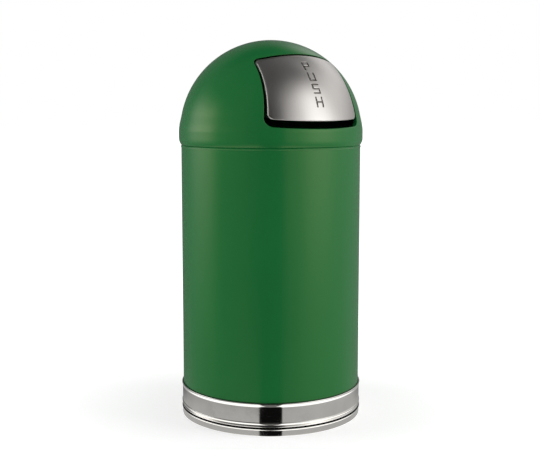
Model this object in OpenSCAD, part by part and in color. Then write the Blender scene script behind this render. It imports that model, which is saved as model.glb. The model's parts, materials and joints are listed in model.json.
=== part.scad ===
// Dome top waste receptacle: a steel cylinder on a bright base, a lift-off dome
// with a sprung push door, and a lift-out liner with a wire bail.
// +Z is up, the door faces -Y, and the origin is the centre of the base on the floor.

/* [Body] */
// Outer diameter of the cylinder
body_d = 372; // [340:1:400]
// Sheet thickness of the cylinder
body_wall = 1.2; // [0.8:0.1:2]
// Height of the top of the rolled rim above the floor
body_h = 563.7; // [540:0.1:620]
// Diameter of the rolled rim
rim_d = 4; // [3:0.1:6]
// How far the rolled rim stands out of the cylinder
rim_proud = 1; // [0.5:0.1:1.5]

/* [Floor pan] */
// Height of the liner's seat above the floor
pan_h = 26; // [22:0.5:40]
// Sheet thickness of the floor pan
pan_wall = 1.2; // [0.8:0.1:2]
// Width of the pan's turned-in foot flange
pan_flange = 16; // [14:0.5:24]
// Radial gap between the pan and the cylinder
pan_gap = 0.1; // [0.05:0.05:0.3]

/* [Base] */
// Thickness of the band's plain face
band_wall = 1.8; // [1.2:0.1:3]
// Radial gap between the band and the cylinder
band_gap = 0.1; // [0.05:0.05:0.3]
// Height of the band from its lowest ridge to its rolled top
band_h = 49.6; // [35:0.1:90]
// Radius of the band's rolled top edge
band_roll = 3.5; // [2.5:0.1:5]
// Radius of each ridge along the band's foot
ridge_r = 2.6; // [1.5:0.1:3]
// Number of ridges along the band's foot
ridge_n = 2; // [1:1:3]
// Height of the open groove between the foot ring and the band
groove_h = 2; // [1:0.1:4]
// Height of the foot ring
foot_h = 14; // [10:0.5:20]
// How far the foot ring stands out of the cylinder
foot_proud = 3; // [2:0.1:6]
// Sheet thickness of the foot ring
foot_wall = 1.5; // [1:0.1:2]
// Width of the foot ring's floor flange
foot_sole = 11; // [8:0.5:16]
// Radius of the foot ring's outer edges
foot_edge = 2.2; // [1.6:0.1:4]

/* [Base screws] */
// Number of screws that hold the foot ring to the floor pan
screw_n = 6; // [3:1:12]
// Shank diameter of a base screw
screw_d = 4.8; // [4:0.1:6]
// Head diameter of a base screw
screw_head_d = 9.5; // [8:0.1:12]
// Head height of a base screw
screw_head_h = 3; // [2:0.1:4]
// Length of a base screw's shank past the pan's flange
screw_tip = 3; // [1:0.5:6]

/* [Dome] */
// Sheet thickness of the dome
dome_wall = 1.2; // [0.8:0.1:2]
// How far the skirt overhangs the cylinder
skirt_overhang = 4.7; // [3.5:0.1:8]
// How far the skirt stands out of the dome's sphere
skirt_step = 2.6; // [1.5:0.1:3.4]
// Height of the skirt's straight part
skirt_band = 14; // [6:0.5:30]
// Height of the sphere's centre above the start of the hem's curve
dome_rise = 12; // [8:0.5:20]
// Radius of the two curves of the flare above the skirt
flare_r = 40; // [30:1:50]
// Radius of the hem's inward curve
hem_r = 22; // [18:0.5:26]
// Gap between the hem and the rolled rim that it stands on
seat_gap = 0.2; // [0.1:0.05:0.3]
// Radial gap between the spigot and the rolled rim
spigot_gap = 0.4; // [0.2:0.1:1]
// Depth of the spigot inside the cylinder
spigot_h = 24; // [12:1:30]

/* [Opening] */
// Width of the opening at its foot
open_w_low = 224; // [200:1:232]
// Width of the opening at its head
open_w_high = 182; // [160:1:190]
// Height of the opening's foot above the start of the hem's curve
open_foot = 21.6; // [16:0.1:30]
// Depth of the opening's head below the crown of the dome
crown_drop = 33.3; // [30:0.1:44]
// Radius of the bow of the opening's foot
open_bow_low = 1400; // [900:50:3000]
// Radius of the bow of the opening's head
open_bow_high = 350; // [300:5:600]
// Corner radius at the opening's foot
open_r_low = 16; // [14:1:30]
// Corner radius at the opening's head
open_r_high = 14; // [12:1:24]
// Depth of the lip turned in round the opening
lip_depth = 10; // [8:0.5:11]
// Thickness of that lip
lip_wall = 1.2; // [0.8:0.1:1.6]

/* [Door] */
// Sheet thickness of the door
door_wall = 1.4; // [1:0.1:2]
// How far the door stands proud of the dome
door_proud = 0.9; // [0:0.1:2]
// Depth of the folded edge round the door
door_fold = 10; // [6:0.5:11]
// Gap under the door
door_gap_foot = 14.5; // [10:0.5:20]
// Gap above the door
door_gap_head = 2.6; // [2.4:0.1:8]
// Gap beside the door at its foot
door_gap_low = 5.8; // [5:0.1:12]
// Gap beside the door at its head
door_gap_high = 2.6; // [2.4:0.1:6]
// Corner radius of the door
door_r = 10; // [6:0.5:14]

/* [Door hinge] */
// Depth of the hinge axis below the head of the door
hinge_drop = 23; // [20:0.1:26]
// Room between the clips on the hinge rod and the skin of the dome
rod_room = 4.1; // [3:0.1:8]
// Diameter of the hinge rod
rod_d = 6; // [5:0.1:7]
// Thickness of a hinge bracket
bracket_wall = 2; // [1.5:0.1:2.6]
// Thickness of a door ear
ear_wall = 2; // [1.5:0.1:2.5]
// Radius of a door ear round the hinge rod
ear_r = 10; // [8.5:0.1:11]
// Reach of the ear in front of the hinge rod
ear_l = 70; // [60:1:80]
// Depth of the ear below the hinge axis
ear_drop = 40; // [30:1:50]
// Length of the ear's heel behind the hinge rod
heel_l = 15; // [14:0.5:17]
// Length of the ear's level foot in front of the hinge rod
ear_web = 10; // [8:0.5:14]
// Depth of the heel below the hinge axis
heel_drop = 9; // [8:0.5:11]
// Outer diameter of the bush in each door ear
bush_d = 10; // [9:0.1:11]
// Length of that bush
bush_l = 5; // [4:0.1:6]
// Radial running gap between bush and rod, and of the rod in its brackets
run_gap = 0.05; // [0.02:0.01:0.1]
// Diameter of a push-on clip at each end of the rod
clip_d = 13; // [11:0.5:14]
// Thickness of that clip
clip_l = 1.5; // [1:0.1:2]
// Diameter of the rubber stop under each heel
stop_d = 8; // [6:0.5:10]
// Height of that rubber stop
stop_h = 5; // [4:0.1:8]
// Gap left between soft rubber and the heel
soft_gap = 0.3; // [0.1:0.1:0.3]

/* [Door springs] */
// Wire diameter of the torsion springs
wire_d = 2; // [1.6:0.1:2.2]
// Number of turns in each spring
spring_n = 7; // [5:1:9]
// Gap between the spring's coil and the rod
spring_gap = 0.3; // [0.2:0.1:0.5]
// Distance below the hinge axis at which the spring's arm meets the door
arm_drop = 51; // [40:1:60]

/* [Liner] */
// How far the liner's wall leans in towards its foot
liner_taper = 12; // [4:0.5:25]
// Height of the liner
liner_h = 520; // [480:1:522]
// Sheet thickness of the liner
liner_wall = 0.9; // [0.7:0.1:1.2]
// Outer diameter of the liner's rolled rim
liner_roll_d = 7; // [5.5:0.1:8]
// Diameter of the wire inside the rolled rim
rim_wire_d = 4; // [3:0.1:4.2]
// Depth of the liner's bottom above its foot edge
liner_sump = 6; // [4:0.5:12]

/* [Bail] */
// Wire diameter of the bail
bail_d = 5; // [4:0.1:5.5]
// Depth of the bail's pivots below the liner's rim
bail_drop = 22; // [18:0.5:40]
// Gap between the ends of the bail and the liner's wall
bail_gap = 0.6; // [0.4:0.1:1]
// Room between the swinging bail and the dome's spigot
bail_room = 1; // [0.5:0.1:3]
// Room between the swinging bail and the liner's rolled rim
rim_room = 0.5; // [0.3:0.1:2]
// Gap between the bail and the wall that it lies against
bail_seat = 0.2; // [0.1:0.05:0.3]
// Width of a bail ear
bail_ear_w = 30; // [24:1:40]
// Height of a bail ear
bail_ear_h = 26; // [22:1:34]
// Thickness of a bail ear at its middle
bail_ear_t = 2.4; // [1.8:0.1:3]
// Diameter of the rivets of the bail ears
rivet_d = 4; // [3:0.1:5]
// How far a rivet stands out of the ear and of the liner's wall
rivet_out = 1; // [0.5:0.1:1.5]

/* [Hidden] */
$fn = 180;

green = "#1f6b39";
bright = "#c9cbcc";
satin = "#9c968f";
zinc = "#aab0b3";
steel = "#7f8488";
rubber = "#1b1b1b";
nylon = "#e9e7df";

corner_step = 10;  // degrees per facet of a rounded corner in an outline
curve_step = 3;    // degrees per facet of the hem, the flare and the bows
flare_bite = 0.05; // depth by which the flare runs on into the sphere
slack = 1;         // overshoot of a cutting body past the face it cuts
side_gap = 1.2;    // gap between parts that lie side by side on the hinge rod
skin_gap = 2;      // gap between the brackets and the skin of the dome
shelf_edge = 2;    // margin of the shelf round the rubber stop
wall_min = 1;      // length of rod that shows past a clip
body_r = body_d / 2;
body_in = body_r - body_wall;

// Rolled rim: a ring whose centre circle lies inside the wall line
rim_r = rim_d / 2;
rim_at = body_r + rim_proud - rim_r;
rim_z = body_h - rim_r;

// Base, from the floor up
screw_hole = 0.1;
pan_r = body_in - pan_gap;
screw_at = pan_r - pan_flange / 2;
band_z = foot_h + groove_h;
band_in = body_r + band_gap;
band_r = band_in + band_wall;
foot_r = body_r + foot_proud;

// Dome: circles of the section, each tangent to the next
skirt_r = body_r + skirt_overhang;
dome_r = skirt_r - skirt_step;
hem_at = skirt_r - hem_r;
hem_z = rim_z + sqrt(pow(hem_r + rim_r + seat_gap, 2) - pow(rim_at - hem_at, 2));
dome_z = hem_z + dome_rise;
spigot_r = rim_at - rim_r - spigot_gap;
spigot_base = rim_z - spigot_h;
band_top = hem_z + skirt_band;
crest_at = skirt_r - flare_r;
valley = meet([0, dome_z], dome_r + flare_r, [crest_at, band_top], 2 * flare_r);
crest_a = heading([crest_at, band_top], valley);
valley_a = heading([0, dome_z], valley);

// Opening and door, as seen from the front
open_z = hem_z + open_foot;
open_top = dome_z + dome_r - crown_drop;
open_h = open_top - open_z;
door_out = dome_r + door_proud;
door_in = door_out - door_wall;
door_z = open_z + door_gap_foot;
door_top = open_top - door_gap_head;
open_lean = (open_w_low - open_w_high) / 2 / open_h;
door_half_low = open_w_low / 2 - open_lean * door_gap_foot - door_gap_low;
door_half_high = open_w_high / 2 + open_lean * door_gap_head - door_gap_high;
door_lean = (door_half_low - door_half_high) / (door_top - door_z);

// Hinge
rod_r = rod_d / 2;
hinge_z = door_top - hinge_drop;
open_half = open_w_high / 2 + open_lean * (open_top - hinge_z);
door_half = door_half_high + door_lean * (door_top - hinge_z);
clip_x = open_half + lip_wall + bracket_wall + side_gap;
rod_half = clip_x + clip_l + wall_min;
hinge_r = sqrt(pow(dome_r - dome_wall - rod_room, 2) - pow(clip_x + clip_l, 2)) - clip_d / 2;
hinge_y = sqrt(pow(hinge_r, 2) - pow(hinge_z - dome_z, 2));
bush_x = door_half - door_wall - bush_l / 2;
shelf_z = hinge_z - heel_drop - soft_gap - stop_h;
stop_y = hinge_y - heel_l + stop_d / 2 + shelf_edge;
stop_x = door_half - door_wall - ear_wall / 2;

// Springs
wire_r = wire_d / 2;
coil_r = rod_r + spring_gap + wire_r;
coil_l = spring_n * wire_d;
coil_x = bush_x - bush_l / 2 - side_gap - coil_l;
arm_x = coil_x + wire_r;
tail_x = coil_x + coil_l - wire_r;
arm_z = hinge_z - arm_drop;
arm_y = sqrt(pow(door_in - wire_r - soft_gap, 2) - pow(arm_x, 2) - pow(arm_z - dome_z, 2));
leg_root = [hinge_y, hinge_z - coil_r - wire_r / 3];
shelf_nose = [stop_y + stop_d / 2, shelf_z - bracket_wall];
tail_end = shelf_nose + (wire_r + spring_gap) * square_to(shelf_nose - leg_root);

// Liner, inside the sweep of its bail
liner_z = pan_h;
liner_top = liner_z + liner_h;
bail_r = bail_d / 2;
bail_z = liner_top - bail_drop;
bail_at = spigot_r - dome_wall - bail_room - bail_r;
roll_r = liner_roll_d / 2;
roll_z = liner_top - roll_r;
roll_at = sqrt(pow(bail_at - bail_r - roll_r - rim_room, 2) - pow(roll_z - bail_z, 2));
liner_r = roll_at - roll_r + liner_wall;
liner_foot_r = liner_r - liner_taper;
liner_lean = (liner_r - liner_foot_r) / (roll_z - liner_z);

// Bail and its ears
bail_rest = lie(0, 6);
ear_face = wall_at(bail_z) + bail_ear_t;
rivet_y = bail_ear_w / 2 - rivet_d;

// Radius of the liner's outer wall at height z
function wall_at(z) = liner_foot_r + liner_lean * (z - liner_z);

// Angle below level at which the bail meets the liner's wall, found in n steps from a
function lie(a, n) = n == 0 ? a
    : lie(acos((wall_at(bail_z - bail_at * sin(a)) + bail_r + bail_seat) / bail_at), n - 1);

// Unit vector square to v, turned to the left
function square_to(v) = [-v[1], v[0]] / norm(v);

// Direction from a to b, in degrees
function heading(a, b) = atan2(b[1] - a[1], b[0] - a[0]);

// Point at distance p from a and q from b, on the side away from the axis
function meet(a, p, b, q) =
    let (d = norm(b - a), t = (p * p - q * q + d * d) / (2 * d), u = (b - a) / d)
    a + t * u + sqrt(p * p - t * t) * [-u[1], u[0]];

// Points of an arc about c, with a facet every step degrees
function arc(c, r, a, b, step = corner_step) =
    let (n = max(1, ceil(abs(b - a) / step)))
    [for (i = [0 : n]) c + r * [cos(a + (b - a) * i / n), sin(a + (b - a) * i / n)]];

// The same arc without its two ends
function inner(points) = [for (i = [1 : len(points) - 2]) points[i]];

// Rounded trapezoid from z0 to z1 with a bowed foot and head, grown outwards by g:
// corner radii r0 and r1, radii b0 and b1 of the bows, each tangent to the next
function panel(low, high, z0, z1, r0, r1, b0, b1, g) =
    let (s = atan((low - high) / (z1 - z0)), k = low * cos(s) + z0 * sin(s),
        a0 = s + asin((k - r0 - (z0 + b0) * sin(s)) / (b0 - r0)),
        a1 = asin((k - r1 - (z1 - b1) * sin(s)) / (b1 - r1)) - s,
        m0 = [0, z0 + b0], c0 = m0 + (b0 - r0) * [sin(a0), -cos(a0)],
        m1 = [0, z1 - b1], c1 = m1 + (b1 - r1) * [sin(a1), cos(a1)])
    concat(arc(c0, r0 + g, a0 - 90, s), arc(c1, r1 + g, s, 90 - a1),
        inner(arc(m1, b1 + g, 90 - a1, 90 + a1, curve_step)),
        arc([-c1[0], c1[1]], r1 + g, 90 + a1, 180 - s),
        arc([-c0[0], c0[1]], r0 + g, 180 - s, 270 - a0),
        inner(arc(m0, b0 + g, 270 - a0, 270 + a0, curve_step)));

// Prism of the opening towards the front, grown by g
module opening(g) {
    rotate([90, 0, 0]) linear_extrude(skirt_r + slack + g)
        polygon(panel(open_w_low / 2, open_w_high / 2, open_z, open_top,
            open_r_low, open_r_high, open_bow_low, open_bow_high, g));
}

// Prism of the door towards the front, shrunk by g
module doorway(g) {
    rotate([90, 0, 0]) linear_extrude(skirt_r + slack)
        polygon(panel(door_half_low, door_half_high, door_z, door_top,
            door_r, door_r, open_bow_low + door_gap_foot, open_bow_high - door_gap_head, -g));
}

// Ball about the dome's centre
module ball(r) {
    translate([0, 0, dome_z]) sphere(r);
}

// Plate seen from the side: u is the distance in front of the axis, v the height
module side_plate(x0, x1) {
    translate([(x0 + x1) / 2, 0, 0]) rotate([90, 0, -90])
        linear_extrude(abs(x1 - x0), center = true) children();
}

// Cylinder along X at a place seen from the side
module cross_pin(u, v, r, x0, x1) {
    translate([x0, -u, v]) rotate([0, 90, 0]) cylinder(r = r, h = x1 - x0);
}

// Straight length of wire from p to q, seen from the side at x
module wire_leg(x, p, q) {
    translate([x, -p[0], p[1]]) rotate([90 - heading(p, q), 0, 0])
        cylinder(r = wire_r, h = norm(q - p));
}

// Right-hand pieces are made once and mirrored
module on_side(side) {
    if (side < 0) mirror([1, 0, 0]) children();
    else children();
}

// A slice of a section: r from a to b, z from c to d
module slice(a, b, c, d) {
    translate([a, c]) square([b - a, d - c]);
}

// Solid section of the dome, its surface moved in by t: a circle over the skirt's outline
module dome_section(t) {
    spigot = spigot_r - t;
    foot = spigot_base - (t > 0 ? slack : 0);
    hem_a = -acos((spigot - hem_at) / (hem_r - t));
    inside = [0, dome_z] + (dome_r - t - flare_bite) * [cos(valley_a), sin(valley_a)];
    intersection() {
        translate([0, dome_z]) circle(dome_r - t);
        slice(0, skirt_r, hem_z, dome_z + dome_r);
    }
    polygon(concat(
        [[0, foot], [spigot, foot]],
        arc([hem_at, hem_z], hem_r - t, hem_a, 0, curve_step),
        arc([crest_at, band_top], flare_r - t, 0, crest_a, curve_step),
        arc(valley, flare_r + t, crest_a - 180, valley_a - 180 + curve_step / 2, curve_step),
        [inside, [0, inside[1]]]));
}

module body_shell() {
    color(green) rotate_extrude() {
        slice(body_in, body_r, foot_h, rim_z);
        translate([rim_at, rim_z]) circle(rim_r);
    }
}

module floor_pan() {
    color(zinc) difference() {
        rotate_extrude() {
            slice(0, pan_r, pan_h - pan_wall, pan_h);
            slice(pan_r - pan_wall, pan_r, foot_h, pan_h - pan_wall);
            slice(pan_r - pan_flange, pan_r - pan_wall, foot_h, foot_h + pan_wall);
        }
        base_screw_holes();
    }
}

module base_screw_places() {
    for (i = [0 : screw_n - 1])
        rotate(360 * (i + 0.5) / screw_n) translate([screw_at, 0, foot_h]) children();
}

module base_screw_holes() {
    base_screw_places() cylinder(r = screw_d / 2 + screw_hole, h = 4 * foot_wall, center = true);
}

module base_screws() {
    color(steel) base_screw_places() {
        translate([0, 0, -foot_wall - screw_head_h]) cylinder(d = screw_head_d, h = screw_head_h);
        translate([0, 0, -foot_wall]) cylinder(d = screw_d, h = foot_wall + pan_wall + screw_tip);
    }
}

module base_band() {
    roll_at = band_r - band_roll / 4;
    color(bright) rotate_extrude() difference() {
        union() {
            slice(band_in, band_r, band_z, band_z + band_h - band_roll);
            translate([roll_at, band_z + band_h - band_roll]) circle(band_roll);
            for (i = [0 : ridge_n - 1])
                translate([band_r - ridge_r / 4, band_z + ridge_r * (1 + 2.2 * i)]) circle(ridge_r);
        }
        slice(0, band_in, 0, body_h);
    }
}

module foot_ring() {
    edge_at = foot_r - foot_edge;
    color(bright) difference() {
        rotate_extrude() {
            polygon(concat(
                [[foot_r - foot_sole, 0]],
                arc([edge_at, foot_edge], foot_edge, -90, 0),
                arc([edge_at, foot_h - foot_edge], foot_edge, 0, 90),
                [[pan_r - pan_flange, foot_h], [pan_r - pan_flange, foot_h - foot_wall]],
                arc([edge_at, foot_h - foot_edge], foot_edge - foot_wall, 90, 0),
                arc([edge_at, foot_edge], foot_edge - foot_wall, 0, -90),
                [[foot_r - foot_sole, foot_wall]]));
        }
        base_screw_holes();
    }
}

module dome_shell() {
    color(green) difference() {
        union() {
            rotate_extrude() difference() {
                dome_section(0);
                dome_section(dome_wall);
            }
            intersection() {
                difference() {
                    rotate_extrude() dome_section(dome_wall / 2);
                    ball(dome_r - lip_depth);
                }
                opening(lip_wall);
            }
        }
        opening(0);
    }
}

// Bracket beside the opening: welded to the lip, it carries the rod and the stop
module hinge_bracket(side) {
    back = stop_y - stop_d / 2 - shelf_edge;
    shelf_end = open_half + open_lean * (hinge_z - shelf_z) + lip_wall + bracket_wall / 2;
    color(green) on_side(side) difference() {
        union() {
            intersection() {
                difference() {
                    opening(lip_wall + bracket_wall);
                    opening(lip_wall);
                }
                ball(dome_r - dome_wall - skin_gap);
                side_plate(open_half / 2, body_r) polygon([
                    [back, shelf_z - bracket_wall],
                    [back, shelf_z],
                    [hinge_y - ear_r, hinge_z + ear_r],
                    [hinge_y + 3 * ear_r, hinge_z + ear_r],
                    [hinge_y + 4 * ear_r, shelf_z - bracket_wall]]);
            }
            translate([tail_x - wire_d, -stop_y - stop_d / 2, shelf_z - bracket_wall])
                cube([shelf_end - tail_x + wire_d, stop_d, bracket_wall]);
        }
        cross_pin(hinge_y, hinge_z, rod_r + run_gap, 0, body_r);
    }
}

module hinge_bracket_left() hinge_bracket(-1);
module hinge_bracket_right() hinge_bracket(1);

module hinge_rod() {
    color(steel) cross_pin(hinge_y, hinge_z, rod_r, -rod_half, rod_half);
}

module rod_clips() {
    color(zinc) for (side = [-1, 1]) on_side(side) difference() {
        cross_pin(hinge_y, hinge_z, clip_d / 2, clip_x, clip_x + clip_l);
        cross_pin(hinge_y, hinge_z, rod_r, clip_x - slack, clip_x + clip_l + slack);
    }
}

module stop_bumper(side) {
    color(rubber) on_side(side) translate([stop_x, -stop_y, shelf_z]) cylinder(d = stop_d, h = stop_h);
}

module stop_bumper_left() stop_bumper(-1);
module stop_bumper_right() stop_bumper(1);

// Torsion spring: a sleeve of close turns, an arm to the door and a tail under the shelf
module door_spring(side) {
    color(steel) on_side(side) difference() {
        union() {
            cross_pin(hinge_y, hinge_z, coil_r + wire_r, coil_x, coil_x + coil_l);
            wire_leg(arm_x, leg_root, [arm_y, arm_z]);
            wire_leg(tail_x, leg_root, tail_end);
        }
        cross_pin(hinge_y, hinge_z, rod_r + spring_gap, coil_x - slack, coil_x + coil_l + slack);
    }
}

module door_spring_left() door_spring(-1);
module door_spring_right() door_spring(1);

module door_panel() {
    color(satin) difference() {
        intersection() {
            doorway(0);
            ball(door_out);
        }
        intersection() {
            doorway(door_wall);
            ball(door_in);
        }
        ball(door_out - door_fold);
    }
}

// Ear inside the door's side fold: it carries the bush and the heel of the stop
module door_ear(side) {
    color(satin) on_side(side) difference() {
        intersection() {
            difference() {
                doorway(door_wall);
                doorway(door_wall + ear_wall);
            }
            ball(door_in - run_gap);
            side_plate(door_half / 2, body_r) polygon(concat(
                [[hinge_y - heel_l, hinge_z - heel_drop], [hinge_y - heel_l, hinge_z - heel_drop / 2]],
                arc([hinge_y, hinge_z], ear_r, 150, 90),
                [[hinge_y + ear_l, hinge_z + ear_r],
                    [hinge_y + ear_l, hinge_z - ear_drop],
                    [hinge_y + ear_drop, hinge_z - ear_drop],
                    [hinge_y + ear_web, hinge_z - heel_drop]]));
        }
        cross_pin(hinge_y, hinge_z, bush_d / 2, 0, body_r);
    }
}

module door_ear_left() door_ear(-1);
module door_ear_right() door_ear(1);

module door_bush(side) {
    color(nylon) on_side(side) difference() {
        cross_pin(hinge_y, hinge_z, bush_d / 2, bush_x - bush_l / 2, bush_x + bush_l / 2);
        cross_pin(hinge_y, hinge_z, rod_r + run_gap, 0, body_r);
    }
}

module door_bush_left() door_bush(-1);
module door_bush_right() door_bush(1);

module liner_shell() {
    color(zinc) difference() {
        rotate_extrude() {
            polygon([
                [liner_foot_r - liner_wall, liner_z], [liner_foot_r, liner_z],
                [liner_r, roll_z], [liner_r - liner_wall, roll_z]]);
            translate([roll_at, roll_z]) difference() {
                circle(roll_r);
                circle(roll_r - liner_wall);
            }
        }
        liner_rivet_places() cylinder(d = rivet_d, h = 4 * bail_ear_t, center = true);
    }
}

module liner_bottom() {
    color(zinc) translate([0, 0, liner_z + liner_sump])
        cylinder(r1 = wall_at(liner_z + liner_sump) - liner_wall,
            r2 = wall_at(liner_z + liner_sump + liner_wall) - liner_wall, h = liner_wall);
}

module liner_rim_wire() {
    color(steel) rotate_extrude()
        translate([roll_at, roll_z]) circle(rim_wire_d / 2);
}

// Places of the rivets on both sides, each frame's z pointing out of the wall
module liner_rivet_places() {
    for (side = [-1, 1]) on_side(side) for (y = [-rivet_y, rivet_y])
        translate([sqrt(pow(wall_at(bail_z), 2) - y * y), y, bail_z]) rotate([0, 90, 0]) children();
}

module liner_ear(side) {
    color(zinc) on_side(side) difference() {
        translate([liner_foot_r, -bail_ear_w / 2, bail_z - bail_ear_h / 2])
            cube([ear_face - liner_foot_r, bail_ear_w, bail_ear_h]);
        translate([0, 0, liner_z]) cylinder(r1 = liner_foot_r, r2 = liner_r, h = roll_z - liner_z);
        cross_pin(0, bail_z, bail_r + run_gap, 0, body_r);
        liner_rivet_places() cylinder(d = rivet_d, h = 4 * bail_ear_t, center = true);
    }
}

module liner_ear_left() liner_ear(-1);
module liner_ear_right() liner_ear(1);

module liner_rivets() {
    root = wall_at(bail_z) - liner_wall - rivet_out - bail_ear_w * bail_ear_w / 8 / liner_r;
    color(steel) for (side = [-1, 1]) on_side(side) for (y = [-rivet_y, rivet_y])
        translate([root, y, bail_z]) rotate([0, 90, 0])
            cylinder(d = rivet_d, h = ear_face + rivet_out - root);
}

module liner_bail() {
    color(zinc) translate([0, 0, bail_z]) rotate([-bail_rest, 0, 0]) union() {
        rotate_extrude(angle = 180) translate([bail_at, 0]) circle(bail_r);
        for (side = [-1, 1]) on_side(side) translate([wall_at(bail_z) + bail_gap, 0, 0])
            rotate([0, 90, 0]) cylinder(r = bail_r, h = bail_at - wall_at(bail_z) - bail_gap);
    }
}

body_shell();
floor_pan();
base_band();
foot_ring();
base_screws();
dome_shell();
hinge_bracket_left();
hinge_bracket_right();
hinge_rod();
rod_clips();
stop_bumper_left();
stop_bumper_right();
door_spring_left();
door_spring_right();
door_panel();
door_ear_left();
door_ear_right();
door_bush_left();
door_bush_right();
liner_shell();
liner_bottom();
liner_rim_wire();
liner_ear_left();
liner_ear_right();
liner_rivets();
liner_bail();
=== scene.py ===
import json
import math

import bmesh
import bpy
import numpy as np
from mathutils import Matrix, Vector


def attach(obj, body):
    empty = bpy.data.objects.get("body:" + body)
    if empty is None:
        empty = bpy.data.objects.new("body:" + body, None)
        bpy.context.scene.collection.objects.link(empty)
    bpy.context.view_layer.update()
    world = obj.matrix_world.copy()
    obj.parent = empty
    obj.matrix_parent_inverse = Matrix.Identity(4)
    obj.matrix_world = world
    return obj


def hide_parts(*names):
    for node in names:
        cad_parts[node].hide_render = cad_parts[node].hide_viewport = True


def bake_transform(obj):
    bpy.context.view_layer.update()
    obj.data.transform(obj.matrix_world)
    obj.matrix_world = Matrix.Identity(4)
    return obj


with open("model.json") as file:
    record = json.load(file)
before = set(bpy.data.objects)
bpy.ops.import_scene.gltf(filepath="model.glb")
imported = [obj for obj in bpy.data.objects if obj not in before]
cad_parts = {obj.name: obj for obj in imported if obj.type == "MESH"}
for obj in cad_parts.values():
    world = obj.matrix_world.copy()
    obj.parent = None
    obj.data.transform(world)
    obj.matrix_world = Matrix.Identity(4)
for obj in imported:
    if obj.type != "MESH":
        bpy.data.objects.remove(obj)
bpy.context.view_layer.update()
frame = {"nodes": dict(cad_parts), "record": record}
nodes = frame["nodes"]
bpy.context.scene.view_settings.view_transform = "Standard"
mm = 0.001  # shapes are worked out in millimetres: x right, y back, z up
print("frame loaded with", len(nodes), "nodes")

# the camera as the photograph's ellipses and scale give it: angles in degrees, lens and sensor in millimetres,
# shift as a share of the frame, the rest in metres
view = {"turn": -32.0, "away": 2.0617, "height": 0.6427, "dip": 6.82, "lens": 65.70, "sensor": 36.0,
        "shift": -0.00144}


def makeCamera(spec):
    # stands away from the axis in the direction of the turn, and looks back at it, down by the dip
    data = bpy.data.cameras.new("studioCamera")
    data.sensor_width, data.lens, data.shift_x = spec["sensor"], spec["lens"], spec["shift"]
    camera = bpy.data.objects.new("studioCamera", data)
    turn = math.radians(spec["turn"])
    camera.location = (spec["away"] * math.sin(turn), -spec["away"] * math.cos(turn), spec["height"])
    camera.rotation_euler = (math.radians(90 - spec["dip"]), 0, turn)
    bpy.context.scene.collection.objects.link(camera)
    bpy.context.scene.camera = camera


makeCamera(view)
print("camera placed")


class Wire:
    # one output socket: sums, differences and products with it add Math nodes
    def __init__(self, graph, socket):
        self.graph, self.socket = graph, socket

    def maths(self, operation, *values):
        return self.graph.node("ShaderNodeMath", {"operation": operation}, dict(enumerate(values)))

    def __add__(self, other): return self.maths("ADD", self, other)
    def __radd__(self, other): return self.maths("ADD", other, self)
    def __sub__(self, other): return self.maths("SUBTRACT", self, other)
    def __rsub__(self, other): return self.maths("SUBTRACT", other, self)
    def __mul__(self, other): return self.maths("MULTIPLY", self, other)
    def __rmul__(self, other): return self.maths("MULTIPLY", other, self)


class Graph:
    # a node tree that hands out wires
    def __init__(self, tree):
        self.tree = tree

    def node(self, kind, settings=None, values=None, out=0):
        # settings first, then values or wires for the sockets
        made = self.tree.nodes.new(kind)
        for key, value in (settings or {}).items():
            setattr(made, key, value)
        for key, value in (values or {}).items():
            if isinstance(value, Wire):
                self.tree.links.new(value.socket, made.inputs[key])
            else:
                made.inputs[key].default_value = value
        return Wire(self, made.outputs[out]) if len(made.outputs) else None

    def place(self, scale=None):
        # Object coordinates, times the scale along each axis
        spot = self.node("ShaderNodeTexCoord", out="Object")
        return spot if scale is None else self.node("ShaderNodeMapping", None, {"Vector": spot, "Scale": scale})

    def axes(self, vector):
        # a vector's three numbers, each as a wire
        split = self.node("ShaderNodeSeparateXYZ", None, {0: vector})
        outputs = split.socket.node.outputs
        return [Wire(self, outputs[i]) for i in range(3)]

    def noise(self, vector, scale, detail=2.0, rough=0.5):
        # cloudy pattern between 0 and 1, with about scale waves to a metre
        return self.node("ShaderNodeTexNoise", None,
                         {"Vector": vector, "Scale": scale, "Detail": detail, "Roughness": rough}, out="Fac")

    def ease(self, value, low, high, start=0.0, end=1.0):
        # smooth step from start to end as value goes from low to high
        return self.node("ShaderNodeMapRange", {"interpolation_type": "SMOOTHSTEP"},
                         {"Value": value, "From Min": low, "From Max": high, "To Min": start, "To Max": end})

    def window(self, value, low, high, soft):
        # 1 between low and high, with soft edges
        return self.ease(value, low - soft, low + soft) * self.ease(value, high - soft, high + soft, 1.0, 0.0)

    def blend(self, share, a, b):
        # colour a where the share is 0 and b where it is 1
        return self.node("ShaderNodeMix", {"data_type": "RGBA"}, {0: share, 6: colour(a), 7: colour(b)}, out=2)

    def bump(self, height, distance, strength, under=None):
        # normal of a relief that is height times distance deep, laid over the normal under it
        values = {"Height": height, "Distance": distance, "Strength": strength}
        if under is not None:
            values["Normal"] = under
        return self.node("ShaderNodeBump", None, values)


def colour(value):
    # a wire as it is, three numbers with a fourth for full cover
    return value if isinstance(value, Wire) else (*value, 1.0)


finishes = {}


def finish(name, build, **constants):
    # one Principled shader: constants on its own sockets, build() gives what varies
    material = bpy.data.materials.new(name)
    material.use_nodes = True
    shader = material.node_tree.nodes["Principled BSDF"]
    graph = Graph(material.node_tree)
    for key, value in constants.items():
        shader.inputs[key].default_value = value
    for key, wire in build(graph).items():
        material.node_tree.links.new(wire.socket, shader.inputs[key])
    finishes[name] = material


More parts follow.
